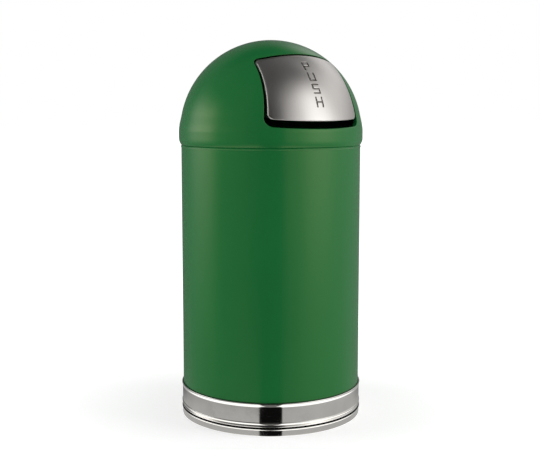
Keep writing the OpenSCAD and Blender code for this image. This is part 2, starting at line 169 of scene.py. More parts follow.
# lengths in the finishes are in metres; a zone is where it starts, where it ends and the softness of its edges
enamel = {"deep": (0.0058, 0.121, 0.0290), "light": (0.0072, 0.142, 0.0340), "chip": (0.10, 0.17, 0.11),
          "creviceShade": (0.003, 0.030, 0.010), "grooveShade": (0.002, 0.003, 0.002), "rough": 0.17,
          "rimZone": (0.561, 0.566, 0.003), "skirtZone": (0.586, 0.594, 0.006), "footZone": (0.060, 0.078, 0.008),
          "skirtWear": 0.4, "footWear": 0.5, "wear": 0.5, "creviceShadeZone": (0.0640, 0.0674, 0.0005),
          "creviceShadeShare": 0.85, "grooveShadeFade": (0.0189, 0.0201), "weldZone": (-0.0022, 0.0022, 0.0012),
          "weldHeight": (0.0, 0.5555, 0.001), "weldDepth": 0.0003, "backFade": (0.17, 0.18), "peelDepth": 0.00003,
          "waveDepth": 0.0010, "hemTop": 0.5796, "hemHeight": 0.0136, "hemRound": 17.0}


def enamelCoat(g):
    # glossy paint: cloudy colour, rubbed edges, painted shade in the grooves, orange peel over slow waves
    c = enamel
    spot = g.place()
    x, y, z = g.axes(spot)
    cloud = g.noise(spot, 5.0, 3.0)
    speck = g.noise(spot, 260.0, 2.0, 0.6)
    base = g.blend(cloud, c["deep"], c["light"])
    # rubbed metal shows as faint paler specks along the rim, the top of the skirt and the strip over the band
    edges = g.window(z, *c["rimZone"]) + g.window(z, *c["skirtZone"]) * c["skirtWear"]
    edges = edges + g.window(z, *c["footZone"]) * c["footWear"]
    rubbed = edges * g.ease(speck, 0.62, 0.74) * g.ease(g.noise(spot, 18.0, 2.0), 0.5, 0.7)
    base = g.blend(rubbed * c["wear"], base, c["chip"])
    # painted shade: a dark line along the top of the bright band, where it meets the cylinder, and near black in
    # the groove over the foot ring
    base = g.blend(g.window(z, *c["creviceShadeZone"]) * c["creviceShadeShare"], base, c["creviceShade"])
    base = g.blend(g.ease(z, *c["grooveShadeFade"], 1.0, 0.0), base, c["grooveShade"])
    peel = g.noise(spot, 420.0, 1.0)
    wave = g.noise(g.place((3.0, 3.0, 0.7)), 3.0, 1.0)
    # lengthwise weld at the back, ground almost flat
    weld = g.window(x, *c["weldZone"]) * g.ease(y, *c["backFade"]) * g.window(z, *c["weldHeight"])
    relief = g.bump(peel, c["peelDepth"], 0.5)
    relief = g.bump(wave, c["waveDepth"], 0.5, relief)
    relief = g.bump(weld, c["weldDepth"], 0.8, relief)
    # thick enamel rounds off the rolled hem: its lower half is shaded as if it turned in less
    hem = g.node("ShaderNodeClamp", None, {0: c["hemTop"] - z, 1: 0.0, 2: c["hemHeight"]})
    relief = g.bump(hem * hem, c["hemRound"], 1.0, relief)
    smear = g.noise(g.place((1.0, 1.0, 0.5)), 14.0, 3.0)
    return {"Base Color": base, "Roughness": c["rough"] + smear * 0.07 + rubbed * 0.3, "Normal": relief}


finish("greenEnamel", enamelCoat, **{"IOR": 1.5, "Specular Tint": (1.0, 0.88, 0.52, 1.0)})

chrome = {"bright": (0.875, 0.86, 0.82), "hazy": (0.82, 0.80, 0.755), "rough": 0.045,
          "grooveZone": (0.0143, 0.0179, 0.0004), "grooveShare": 0.98, "scuffTop": 0.004, "rippleDepth": 0.0005}


def chromeSkin(g):
    # bright sheet: hazy patches, wipe marks round it, slow ripples and a scuffed lowest edge
    c = chrome
    spot = g.place()
    z = g.axes(spot)[2]
    haze = g.noise(spot, 22.0, 4.0, 0.6)
    wipe = g.noise(g.place((1.0, 1.0, 9.0)), 35.0, 2.0)
    base = g.blend(g.ease(haze, 0.35, 0.75), c["bright"], c["hazy"])
    # painted shade: the groove between the band and the foot ring is coloured near black
    base = g.blend(g.window(z, *c["grooveZone"]) * c["grooveShare"], base, enamel["grooveShade"])
    scuff = g.ease(z, c["scuffTop"], 0.0) * g.ease(g.noise(spot, 160.0, 3.0), 0.45, 0.7)
    ripple = g.noise(g.place((1.0, 1.0, 0.25)), 16.0, 1.0)
    rough = c["rough"] + g.ease(haze, 0.45, 0.8) * 0.07 + wipe * 0.03 + scuff * 0.08
    return {"Base Color": base, "Roughness": rough, "Normal": g.bump(ripple, c["rippleDepth"], 0.35)}


finish("brightSteel", chromeSkin, Metallic=1.0)

satin = {"dark": (0.60, 0.575, 0.55), "pale": (0.67, 0.645, 0.62), "handled": (0.56, 0.53, 0.50),
         "strokeShade": (0.10, 0.09, 0.08), "grain": (1100.0, 25.0, 25.0), "fineGrain": (2600.0, 60.0, 60.0),
         "rough": 0.29, "grainDepth": 0.00004}


def satinSkin(g):
    # brushed sheet: grain that is fine across and long upwards, handled patches, and painted shade in the word's
    # strokes
    c = satin
    grain = g.noise(g.place(c["grain"]), 1.0, 2.0, 0.6)
    fine = g.noise(g.place(c["fineGrain"]), 1.0, 1.0)
    touch = g.ease(g.noise(g.place(), 26.0, 3.0), 0.5, 0.75)
    base = g.blend(grain, c["dark"], c["pale"])
    base = g.blend(touch * 0.25, base, c["handled"])
    # painted shade: the sunk strokes are darkened as if their walls were in shade
    strokeShade = g.ease(g.axes(g.node("ShaderNodeUVMap", {"uv_map": "wordDepth"}))[0], 0.25, 0.9)
    base = g.blend(strokeShade * 0.75, base, c["strokeShade"])
    return {"Base Color": base, "Roughness": c["rough"] + grain * 0.05 + touch * 0.04 + strokeShade * 0.1,
            "Normal": g.bump(grain * 0.6 + fine * 0.4, c["grainDepth"], 0.5)}


finish("satinSteel", satinSkin, Metallic=1.0)

zinc = {"dark": (0.40, 0.42, 0.43), "pale": (0.55, 0.57, 0.58), "stain": (0.34, 0.34, 0.33), "flakes": 110.0,
        "rough": 0.34, "flakeDepth": 0.00005}


def zincSkin(g):
    # galvanised sheet: flakes of differing tone and a few dull stains
    c = zinc
    spot = g.place()
    tone = g.axes(g.node("ShaderNodeTexVoronoi", None, {"Vector": spot, "Scale": c["flakes"]}, out="Color"))[0]
    stain = g.noise(spot, 12.0, 4.0)
    base = g.blend(tone, c["dark"], c["pale"])
    base = g.blend(g.ease(stain, 0.5, 0.8) * 0.4, base, c["stain"])
    return {"Base Color": base, "Roughness": c["rough"] + tone * 0.14 + stain * 0.08,
            "Normal": g.bump(tone, c["flakeDepth"], 0.5)}


finish("zincSheet", zincSkin, Metallic=1.0)

drawn = {"zincWire": {"bright": (0.52, 0.54, 0.55), "dull": (0.36, 0.37, 0.37), "rough": 0.30},
         "drawnRod": {"bright": (0.50, 0.50, 0.50), "dull": (0.30, 0.29, 0.28), "rough": 0.22},
         "springWire": {"bright": (0.15, 0.15, 0.16), "dull": (0.07, 0.06, 0.05), "rough": 0.32}}


def drawnSkin(c):
    # drawn metal: streaks along x and patches of dull wear
    def skin(g):
        streak = g.noise(g.place((30.0, 260.0, 260.0)), 1.0, 2.0)
        wear = g.ease(g.noise(g.place(), 70.0, 3.0), 0.5, 0.7)
        return {"Base Color": g.blend(wear * 0.5, c["bright"], c["dull"]),
                "Roughness": c["rough"] + streak * 0.1 + wear * 0.1, "Normal": g.bump(streak, 0.00004, 0.5)}
    return skin


for name, look in drawn.items():
    finish(name, drawnSkin(look), Metallic=1.0)

moulded = {"blackRubber": {"dark": (0.014, 0.014, 0.014), "pale": (0.030, 0.030, 0.029), "bloom": 90.0,
                           "rough": 0.68, "roughBloom": 0.15, "grain": 900.0, "grainDepth": 0.0001},
           "paleNylon": {"dark": (0.74, 0.72, 0.66), "pale": (0.82, 0.80, 0.75), "bloom": 60.0,
                         "rough": 0.42, "roughBloom": 0.12, "grain": 700.0, "grainDepth": 0.00005}}


def mouldedSkin(c):
    # rubber or plastic: two close tones in slow patches, with a fine grain
    def skin(g):
        spot = g.place()
        bloom = g.noise(spot, c["bloom"], 3.0)
        rough = c["rough"] + bloom * c["roughBloom"]
        return {"Base Color": g.blend(bloom, c["dark"], c["pale"]), "Roughness": rough,
                "Normal": g.bump(g.noise(spot, c["grain"], 2.0), c["grainDepth"], 0.3)}
    return skin


for name, look in moulded.items():
    finish(name, mouldedSkin(look))
print("finishes made:", len(finishes))

# which finish each of the record's material slots takes; the CAD nodes get theirs here
slotFinish = {"green_enamel": "greenEnamel", "bright_trim": "brightSteel", "satin_door": "satinSteel",
              "zinc_sheet": "zincSheet", "zinc_wire": "zincWire", "bright_rod": "drawnRod",
              "spring_wire": "springWire", "black_rubber": "blackRubber", "pale_nylon": "paleNylon"}
for row in frame["record"]["subparts"]:
    piece = nodes[row["node"]]
    piece.data.materials.clear()
    piece.data.materials.append(finishes[slotFinish[row["material_slot"]]])


def gridFaces(rows, columns, start=0, loopRows=False, loopColumns=False, flip=False):
    # quads between neighbouring rows and columns of a grid of points
    i, j = np.meshgrid(np.arange(rows if loopRows else rows - 1),
                       np.arange(columns if loopColumns else columns - 1), indexing="ij")
    after, beside = (i + 1) % rows, (j + 1) % columns
    quads = np.stack([i * columns + j, after * columns + j, after * columns + beside, i * columns + beside], -1)
    quads = quads.reshape(-1, 4) + start
    return quads[:, ::-1] if flip else quads


joinWithin = 0.004  # points of a piece that are closer than this, in millimetres, become one


class Surface:
    # patches of points and quads, in millimetres, that become one mesh
    def __init__(self):
        self.points, self.quads, self.count = [], [], 0

    def patch(self, points, loopRows=False, loopColumns=False, flip=False):
        # adds a grid of points; a loop joins its last row or column to the first, a flip turns its faces round
        rows, columns = points.shape[:2]
        self.quads.append(gridFaces(rows, columns, self.count, loopRows, loopColumns, flip))
        self.points.append(points.reshape(-1, 3))
        self.count += rows * columns
        return self

    def build(self, name, body, slot, stands, sharp=40.0):
        # welds the patches and turns them outwards; body is one body's name, which the piece is attached to;
        # anything else leaves it unattached where it stands
        mesh = bpy.data.meshes.new(name)
        mesh.from_pydata((np.concatenate(self.points) * mm).tolist(), [], np.concatenate(self.quads).tolist())
        work = bmesh.new()
        work.from_mesh(mesh)
        bmesh.ops.remove_doubles(work, verts=work.verts, dist=joinWithin * mm)
        bmesh.ops.dissolve_degenerate(work, edges=work.edges, dist=joinWithin * mm)
        if work.calc_volume(signed=True) < 0:
            bmesh.ops.reverse_faces(work, faces=work.faces)
        work.to_mesh(mesh)
        work.free()
        mesh.polygons.foreach_set("use_smooth", [True] * len(mesh.polygons))
        mesh.set_sharp_from_angle(angle=math.radians(sharp))
        piece = bpy.data.objects.new(name, mesh)
        bpy.context.scene.collection.objects.link(piece)
        mesh.materials.append(finishes[slotFinish[slot]])
        if isinstance(body, str):
            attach(piece, body)
        else:
            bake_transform(piece)
        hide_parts(*stands)
        return piece


def arc(centre, radius, start, end, steps):
    # points of a circle about centre, from one angle to another in degrees
    turn = np.radians(np.linspace(start, end, steps + 1))
    return np.stack([centre[0] + radius * np.cos(turn), centre[1] + radius * np.sin(turn)], -1)


def stretch(a, b, steps):
    # points from a to b at even spacing
    share = np.linspace(0, 1, steps + 1)[:, None]
    return np.asarray(a) * (1 - share) + np.asarray(b) * share


def ring(profile, turns=288):
    # each (radius, height) of a closed profile is carried round the axis
    turn = np.linspace(0, 2 * np.pi, turns, endpoint=False)[:, None]
    r, z = profile[None, :, 0], profile[None, :, 1]
    points = np.stack([r * np.cos(turn), r * np.sin(turn), z + 0 * turn], -1)
    return Surface().patch(points, loopRows=True, loopColumns=True)


def thicken(path, wall):
    # closed outline of a sheet whose middle follows the path: half the wall to either side, square to the path
    along = np.gradient(path, axis=0)
    along /= np.linalg.norm(along, axis=1)[:, None]
    across = np.stack([along[:, 1], -along[:, 0]], -1) * wall / 2
    return np.concatenate([path + across, (path - across)[::-1]])


# cylinder with its rolled rim
can = {"outer": 186.0, "wall": 1.2, "foot": 14.0, "rimAt": 184.9, "rimHeight": 562.5, "rimRadius": 2.1,
       "rimSteps": 26, "wallSteps": 24}


def makeCylinder(c):
    # up the outer wall, round the rim's circle to where it meets the inner wall, and down again
    inner = c["outer"] - c["wall"]
    low = -math.degrees(math.acos((c["outer"] - c["rimAt"]) / c["rimRadius"]))
    high = 360 - math.degrees(math.acos((inner - c["rimAt"]) / c["rimRadius"]))
    rim = arc((c["rimAt"], c["rimHeight"]), c["rimRadius"], low, high, c["rimSteps"])
    profile = np.concatenate([stretch((c["outer"], c["foot"]), rim[0], c["wallSteps"])[:-1], rim,
                              stretch(rim[-1], (inner, c["foot"]), c["wallSteps"])[1:]])
    ring(profile).build("bodyShell", "root", "green_enamel", ["body_shell"])


makeCylinder(can)
print("cylinder made")

# bright band and foot ring; an At is a circle's middle as (radius, height), a To where its arc ends in degrees
band = {"inner": 186.1, "face": 187.9, "crevice": 63.2, "beadTop": 1.1, "beadAt": (188.2, 64.8), "beadFall": 5.0,
        "ridgeAt": (187.9, 26.0), "ridgeTop": 1.3, "ridgeFall": 5.0, "ridgeFoot": 186.9,
        "wireAt": (186.9, 18.9), "wire": 1.8, "wireTo": 62, "ridgeTo": 88, "beadTo": 200, "turns": 360}
foot = {"edge": 0.6, "face": 188.0, "bead": 1.2, "beadHeight": 13.8, "beadFall": 2.4, "height": 14.0,
        "wall": 1.5, "sole": 178.0, "shelf": 168.7, "turns": 360}


def droop(start, end, steps):
    # arc that leaves start straight down and turns in to end: the side of a bead that faces the floor
    across, down = start[0] - end[0], start[1] - end[1]
    turn = 2 * math.degrees(math.atan(across / down))
    radius = down / math.sin(math.radians(turn))
    return arc((start[0] - radius, start[1]), radius, 0, -turn, steps)


def makeBand(b):
    # from the floor side up: small wire bead, ridge, plain face and the rolled top, then down the inside
    lean = math.degrees(math.acos((b["inner"] - b["wireAt"][0]) / b["wire"]))
    wire = arc(b["wireAt"], b["wire"], -lean, b["wireTo"], 16)
    ridgeOut = (b["ridgeAt"][0] + b["ridgeTop"], b["ridgeAt"][1])
    ridge = np.concatenate([droop(ridgeOut, (b["ridgeFoot"], ridgeOut[1] - b["ridgeFall"]), 10)[::-1],
                            arc(b["ridgeAt"], b["ridgeTop"], 0, b["ridgeTo"], 8)[1:]])
    beadOut = (b["beadAt"][0] + b["beadTop"], b["beadAt"][1])
    bead = np.concatenate([droop(beadOut, (b["face"], beadOut[1] - b["beadFall"]), 10)[::-1],
                           arc(b["beadAt"], b["beadTop"], 0, b["beadTo"], 14)[1:]])
    face = stretch(ridge[-1], bead[0], 16)[1:-1]
    inside = stretch((b["inner"], b["crevice"]), wire[0], 16)[:-1]
    profile = np.concatenate([wire, ridge, face, bead, inside])
    ring(profile, b["turns"]).build("baseBand", "root", "bright_trim", ["base_band"])


def makeFoot(f):
    # from the sole out round the lower edge, up the side, over the bead, along the shelf and back inside the wall
    beadAt = (f["face"], f["beadHeight"])
    side = droop((beadAt[0] + f["bead"], beadAt[1]), (f["face"], beadAt[1] - f["beadFall"]), 8)[::-1]
    edgeAt = (f["face"] - f["edge"], f["edge"])
    inner = f["face"] - f["wall"]
    profile = np.concatenate([
        [[f["sole"], 0.0]], arc(edgeAt, f["edge"], -90, 0, 8), side, arc(beadAt, f["bead"], 0, 180, 14)[1:],
        [[f["shelf"], f["height"]], [f["shelf"], f["height"] - f["wall"]], [inner, f["height"] - f["wall"]],
         [inner, f["wall"]], [f["sole"], f["wall"]]]])
    ring(profile, f["turns"]).build("footRing", "root", "bright_trim", ["foot_ring"])


makeBand(band)
makeFoot(foot)
print("band and foot ring made")

# dome: skirt, flare and sphere, with the lipped opening; the frame is the patch of the sphere round the opening,
# from a height and up to an elevation, as far to either side as frameSide says, in degrees
dome = {"sphere": 188.1, "centre": 591.587, "skirt": 190.7, "wall": 1.2, "hemAt": 168.7, "hem": 22.0,
        "hemHeight": 579.587, "bandTop": 593.587, "flareTop": 628.0, "spigot": 182.6, "spigotBase": 537.7,
        "frameFrom": 595.0, "frameTo": 60.0, "frameSide": 66.0, "columns": 132, "rows": 84, "cornerSteps": 12,
        "backPoints": 148, "capRings": 34, "frameRings": 26, "crowding": 1.5, "pole": 89.99,
        "lip": 10.0, "bend": 1.5, "step": 0.5}
opening = {"low": 112.0, "high": 91.0, "foot": 601.187, "head": 746.387, "lowRadius": 16.0, "highRadius": 14.0,
           "lowBow": 1400.0, "highBow": 350.0}


def reach(z, inset):
    # radius of the dome's surface at height z, moved in by inset: sphere, then a cubic flare down to the skirt
    d = dome
    radius, span = d["sphere"] - inset, d["flareTop"] - d["bandTop"]
    sphere = np.sqrt(np.maximum(radius ** 2 - (z - d["centre"]) ** 2, 0))
    rise = d["flareTop"] - d["centre"]
    joint = math.sqrt(radius ** 2 - rise ** 2)
    s = np.clip((z - d["bandTop"]) / span, 0, 1)
    flare = ((d["skirt"] - inset) * (2 * s ** 3 - 3 * s ** 2 + 1) + joint * (3 * s ** 2 - 2 * s ** 3)
             - rise / joint * span * (s ** 3 - s ** 2))
    return np.where(z >= d["flareTop"], sphere, flare)


def around(turn, z, inset):
    # point of the dome at an azimuth from the front, in degrees, and a height
    r, a = reach(z, inset), np.radians(turn)
    return np.stack([r * np.sin(a), -r * np.cos(a), z + 0 * r], -1)


def climbOf(z, inset):
    # elevation about the sphere's middle, in degrees, of a height on it
    return np.degrees(np.arcsin(np.clip((z - dome["centre"]) / (dome["sphere"] - inset), -1, 1)))


def heightOf(climb, inset):
    # height of an elevation on the sphere
    return dome["centre"] + (dome["sphere"] - inset) * np.sin(np.radians(climb))


def outline(shape, grow, across, upright):
    # rounded trapezoid in front view with a bowed foot and head, each curve tangent to the next:
    # four sides, foot, right, head and left, that meet half way round the corners
    lean = math.atan((shape["low"] - shape["high"]) / (shape["head"] - shape["foot"]))
    flank = shape["low"] * math.cos(lean) + shape["foot"] * math.sin(lean)
    r0, r1, b0, b1 = (shape[key] for key in ("lowRadius", "highRadius", "lowBow", "highBow"))
    m0, m1 = (0.0, shape["foot"] + b0), (0.0, shape["head"] - b1)
    a0 = lean + math.asin((flank - r0 - m0[1] * math.sin(lean)) / (b0 - r0))
    a1 = math.asin((flank - r1 - m1[1] * math.sin(lean)) / (b1 - r1)) - lean
    c0 = ((b0 - r0) * math.sin(a0), m0[1] - (b0 - r0) * math.cos(a0))
    c1 = ((b1 - r1) * math.sin(a1), m1[1] + (b1 - r1) * math.cos(a1))
    tilt, a0, a1 = (math.degrees(angle) for angle in (lean, a0, a1))
    midLow, midHigh = (tilt - 90 + a0) / 2, (tilt + 90 - a1) / 2
    flip = np.array([-1.0, 1.0])

    def bow(centre, radius, start, end, shares):
        # arc with its points at the given shares of its length
        turn = np.radians(start + (end - start) * shares)[:, None]
        return np.concatenate([centre[0] + radius * np.cos(turn), centre[1] + radius * np.sin(turn)], -1)

    def join(first, middle, last):
        # three runs in a row, without the points that they share
        return np.concatenate([first[:-1], middle, last[1:]])

    halfFoot = arc(c0, r0 + grow, -90 + a0, midLow, across["bend"])
    halfHead = arc(c1, r1 + grow, midHigh, 90 - a1, across["bend"])
    lowSide = arc(c0, r0 + grow, midLow, tilt, upright["bend"])
    highSide = arc(c1, r1 + grow, tilt, midHigh, upright["bend"])
    straight = lowSide[-1] * (1 - upright["at"][:, None]) + highSide[0] * upright["at"][:, None]
    lower = join(halfFoot[::-1] * flip, bow(m0, b0 + grow, -90 - a0, -90 + a0, across["at"]), halfFoot)
    upper = join(halfHead, bow(m1, b1 + grow, 90 - a1, 90 + a1, across["at"]), halfHead[::-1] * flip)
    right = join(lowSide, straight, highSide)
    return [lower, right, upper, right[::-1] * flip]


def closedLoop(sides):
    # the four sides as one loop, each corner point once
    return np.concatenate([side[:-1] for side in sides])


def onDome(loop, depth):
    # front-view points put on the dome's surface, moved in by depth: y from the surface's radius at their height
    x, z = loop[..., 0], loop[..., 1]
    r = reach(z, depth)
    return np.stack([x, -np.sqrt(np.maximum(r ** 2 - x ** 2, 1.0)), z], -1)


def foldedEdge(bend, depth, wall, step, steps):
    # section of a folded sheet as (outwards, inwards) pairs: round the bend, along the fold and back inside it
    turn = np.radians(np.linspace(0, 90, steps[0]))
    section = [(bend * (1 - math.sin(a)), bend * (1 - math.cos(a))) for a in turn]
    section += [(0.0, at) for at in np.linspace(bend, depth, steps[1])[1:]]
    section += [(wall, at) for at in np.linspace(depth, wall + step, steps[2])]
    return section + [(wall + step, wall)]


def makeDome(d):
    # outer and inner skin, each of a lower part, the back, a cap and the frame round the opening, then the lip
    corner = d["cornerSteps"]
    across = {"at": np.linspace(0, 1, d["columns"] - 2 * corner + 1), "bend": corner}
    upright = {"at": np.linspace(0, 1, d["rows"] - 2 * corner + 1), "bend": corner}
    columns = np.linspace(-d["frameSide"], d["frameSide"], d["columns"] + 1)
    back = np.linspace(d["frameSide"], 360 - d["frameSide"], d["backPoints"])
    allTurns = np.radians(np.concatenate([columns, back[1:-1]]))
    innerEdge = d["wall"] + d["step"]
    shell = Surface()

    def wheel(profile):
        # (radius, height) pairs carried round from the front
        r, z = profile[:, 0][:, None], profile[:, 1][:, None]
        return np.stack([r * np.sin(allTurns), -r * np.cos(allTurns), z + 0 * allTurns], -1)

    for inset, flip in ((0.0, False), (d["wall"], True)):
        low = climbOf(d["frameFrom"], inset)
        rows = np.linspace(low, d["frameTo"], d["rows"] + 1)
        hemTurn = -math.degrees(math.acos((d["spigot"] - inset - d["hemAt"]) / (d["hem"] - inset)))
        hem = arc((d["hemAt"], d["hemHeight"]), d["hem"] - inset, hemTurn, 0, 22)
        spigot = stretch((d["spigot"] - inset, d["spigotBase"]), hem[0], 8)[:-1]
        skirt = stretch(hem[-1], (d["skirt"] - inset, d["bandTop"]), 6)[1:]
        over = np.linspace(d["bandTop"], heightOf(low, inset), 3)[1:]
        lower = np.concatenate([spigot, hem, skirt, np.stack([reach(over, inset), over], -1)])
        shell.patch(wheel(lower), loopColumns=True, flip=flip)
        turns, climbs = np.meshgrid(back, rows)
        shell.patch(around(turns, heightOf(climbs, inset), inset), flip=flip)
        turns, climbs = np.meshgrid(np.degrees(allTurns), np.linspace(d["frameTo"], d["pole"], d["capRings"]))
        shell.patch(around(turns, heightOf(climbs, inset), inset), loopColumns=True, flip=flip)
        # rings from the opening's outline out to the frame, crowded near the outline
        edge = onDome(closedLoop(outline(opening, innerEdge if flip else d["bend"], across, upright)), inset)
        edgeTurn, edgeClimb = np.degrees(np.arctan2(edge[:, 0], -edge[:, 1])), climbOf(edge[:, 2], inset)
        right, left = np.full(d["rows"], columns[-1]), np.full(d["rows"], columns[0])
        bottom, top = np.full(d["columns"], rows[0]), np.full(d["columns"], rows[-1])
        frameTurn = np.concatenate([columns[:-1], right, columns[:0:-1], left])
        frameClimb = np.concatenate([bottom, rows[:-1], top, rows[:0:-1]])
        share = (np.linspace(0, 1, d["frameRings"]) ** d["crowding"])[:, None]
        turns = edgeTurn * (1 - share) + frameTurn * share
        climbs = edgeClimb * (1 - share) + frameClimb * share
        patch = around(turns, heightOf(climbs, inset), inset)
        patch[0] = edge
        shell.patch(patch, loopColumns=True, flip=not flip)
    lip = [onDome(closedLoop(outline(opening, grow, across, upright)), depth)
           for grow, depth in foldedEdge(d["bend"], d["lip"], d["wall"], d["step"], (7, 6, 5))]
    shell.patch(np.stack(lip), loopColumns=True)
    base = np.array([[d["spigot"], d["spigotBase"]], [d["spigot"] - d["wall"], d["spigotBase"]]])
    shell.patch(wheel(base), loopColumns=True, flip=True)
    shell.build("domeShell", "dome", "green_enamel", ["dome_shell"], sharp=50.0)


makeDome(dome)
print("dome made")

# push door: a pressed sheet with folded edges and a sunk word
door = {"sphere": 189.0, "wall": 1.4, "fold": 10.0, "bend": 2.0, "step": 0.6, "columns": 139, "rows": 221,
        "cornerSteps": 6, "spacing": (0.42, 0.58), "strokeHalf": 1.7, "strokeFlat": 0.6, "sink": 1.5,
        "slant": 0.117, "slantFrom": 12.9}
doorShape = {"low": 104.103, "high": 88.776, "foot": 615.687, "head": 743.787, "lowRadius": 10.0,
             "highRadius": 10.0, "lowBow": 1414.5, "highBow": 347.4}
# plain strokes on a grid 1 wide and 1 high, each letter with the place of its middle in degrees
wordRows = [
    (43.7, [((0, 0), (0, 1)), ((0, 1), (0.85, 1)), ((0.85, 1), (0.85, 0.5)), ((0.85, 0.5), (0, 0.5))]),
    (35.4, [((0, 1), (0, 0.08)), ((0, 0.08), (0.9, 0.08)), ((0.9, 0.08), (0.9, 1))]),
    (27.2, [((0.9, 1), (0, 1)), ((0, 1), (0, 0.52)), ((0, 0.52), (0.9, 0.52)), ((0.9, 0.52), (0.9, 0.04)),
            ((0.9, 0.04), (0, 0.04))]),
    (18.9, [((0, 0), (0, 1)), ((0.9, 0), (0.9, 1)), ((0, 0.5), (0.9, 0.5))]),
]
wordSize = {"wide": 14.5, "high": 19.0, "middle": (0.45, 0.5)}


def wordRelief(x, z):
    # depth at a front-view point: a groove along each stroke, a smooth step of the way to the nearest one
    y = np.sqrt(np.maximum(door["sphere"] ** 2 - x ** 2 - (z - dome["centre"]) ** 2, 1))
    climb = np.degrees(np.arctan2(z - dome["centre"], y))
    wide, high = wordSize["wide"], wordSize["high"]
    near = np.full(x.shape, np.inf)
    for middle, strokes in wordRows:
        v = np.radians(climb - middle) * door["sphere"] / high + wordSize["middle"][1]
        u = (x + door["slant"] * (climb - door["slantFrom"])) / wide + wordSize["middle"][0]
        for (u0, v0), (u1, v1) in strokes:
            du, dv = (u1 - u0) * wide, (v1 - v0) * high
            pu, pv = (u - u0) * wide, (v - v0) * high
            share = np.clip((pu * du + pv * dv) / (du * du + dv * dv), 0, 1)
            near = np.minimum(near, np.hypot(pu - share * du, pv - share * dv))
    fall = np.clip((door["strokeHalf"] - near) / (door["strokeHalf"] - door["strokeFlat"]), 0, 1)
    return door["sink"] * fall * fall * (3 - 2 * fall)


def onDoor(points, depth):
    # front-view points put on the door's sphere, moved in by depth
    x, z = points[..., 0], points[..., 1]
    r = door["sphere"] - depth
    return np.stack([x, -np.sqrt(np.maximum(r ** 2 - x ** 2 - (z - dome["centre"]) ** 2, 1)), z], -1)


def fill(sides):
    # inside points of four curved sides: the sum of both pairs' blends less their corners
    lower, right, upper, left = sides[0], sides[1], sides[2][::-1], sides[3][::-1]
    s = np.linspace(0, 1, len(lower))[None, :, None]
    t = np.linspace(0, 1, len(right))[:, None, None]
    ruled = lower[None] * (1 - t) + upper[None] * t + left[:, None] * (1 - s) + right[:, None] * s
    lowCorners = lower[0] * (1 - s) * (1 - t) + lower[-1] * s * (1 - t)
    return ruled - (lowCorners + upper[0] * (1 - s) * t + upper[-1] * s * t)


def makeDoor(d):
    # outer and inner face and the folded edge; columns stand closer together in the middle, where the word is
    even = np.linspace(-1, 1, d["columns"])
    flat, cubic = d["spacing"]
    across = {"at": 0.5 + 0.5 * (flat * even + cubic * even ** 3), "bend": d["cornerSteps"]}
    upright = {"at": np.linspace(0, 1, d["rows"]), "bend": d["cornerSteps"]}
    panel = Surface()
    for grow, depth, flip in ((-d["bend"], 0.0, False), (-d["wall"] - d["step"], d["wall"], True)):
        face = fill(outline(doorShape, grow, across, upright))
        panel.patch(onDoor(face, depth + wordRelief(face[..., 0], face[..., 1])), flip=flip)
    edge = [onDoor(closedLoop(outline(doorShape, -grow, across, upright)), depth)
            for grow, depth in foldedEdge(d["bend"], d["fold"], d["wall"], d["step"], (8, 5, 4))]
    panel.patch(np.stack(edge), loopColumns=True)
    piece = panel.build("doorPanel", "door", "satin_door", ["door_panel"], sharp=50.0)
    # the map's first number is the share of the word's depth, which sets how much painted shade the strokes get
    spots = np.empty(len(piece.data.vertices) * 3)
    piece.data.vertices.foreach_get("co", spots)
    spots = spots.reshape(-1, 3) / mm
    corners = np.empty(len(piece.data.loops), dtype=np.int32)
    piece.data.loops.foreach_get("vertex_index", corners)
    depth = wordRelief(spots[:, 0], spots[:, 2])[corners] / d["sink"]
    piece.data.uv_layers.new(name="wordDepth").data.foreach_set("uv", np.stack([depth, 0 * depth], -1).ravel())


makeDoor(door)
print("door made")

# liner: tapered pail with its edge curled round a wire; the curl ends at curlTo, in degrees
liner = {"foot": 155.799, "base": 26.0, "rollHeight": 542.5, "rollAt": 170.399, "roll": 3.5, "wall": 0.9,
         "curlTo": -155, "curlSteps": 34, "wallSteps": 40, "turns": 256}


def makeLiner(c):
    # the sheet's middle runs straight up from the foot and on round the wire
    middle = c["wall"] / 2
    curl = arc((c["rollAt"], c["rollHeight"]), c["roll"] - middle, 180, c["curlTo"], c["curlSteps"])
    path = np.concatenate([stretch((c["foot"] - middle, c["base"]), curl[0], c["wallSteps"])[:-1], curl])
    shell = ring(thicken(path, c["wall"]), c["turns"])
    shell.build("linerShell", "liner", "zinc_sheet", ["liner_shell"], sharp=60.0)


makeLiner(liner)
print("liner made")

# torsion springs, wound round the hinge rod; axis, arm and tail are (towards the front, up) of the coil's middle
# and of the wire's two ends, and start is the coil's distance from the middle of the dome
spring = {"axis": (68.2674, 720.787), "radius": 4.3, "wire": 1.0, "turns": 7, "start": 69.9279, "length": 14.0,
          "arm": (153.498, 669.787), "tail": (64.4623, 703.975), "stepsPerTurn": 24, "sides": 10}


def sweep(path, radius, sides):
    # a round wire along a path: each ring stands square to the path, from its cross product with the x axis,
    # which is skewed a little so that it never lies along the path; the ends close to a point
    along = np.gradient(path, axis=0)
    along /= np.linalg.norm(along, axis=1)[:, None]
    across = np.cross(along, np.array([1.0, 0.0, 0.0]) + 1e-6)
    across /= np.maximum(np.linalg.norm(across, axis=1)[:, None], 1e-9)
    over = np.cross(along, across)
    turn = np.linspace(0, 2 * np.pi, sides, endpoint=False)[None, :, None]
    rings = path[:, None] + radius * (across[:, None] * np.cos(turn) + over[:, None] * np.sin(turn))
    ends = [np.repeat(path[i][None, None], sides, 1) for i in (0, -1)]
    return np.concatenate([ends[0], rings, ends[1]])


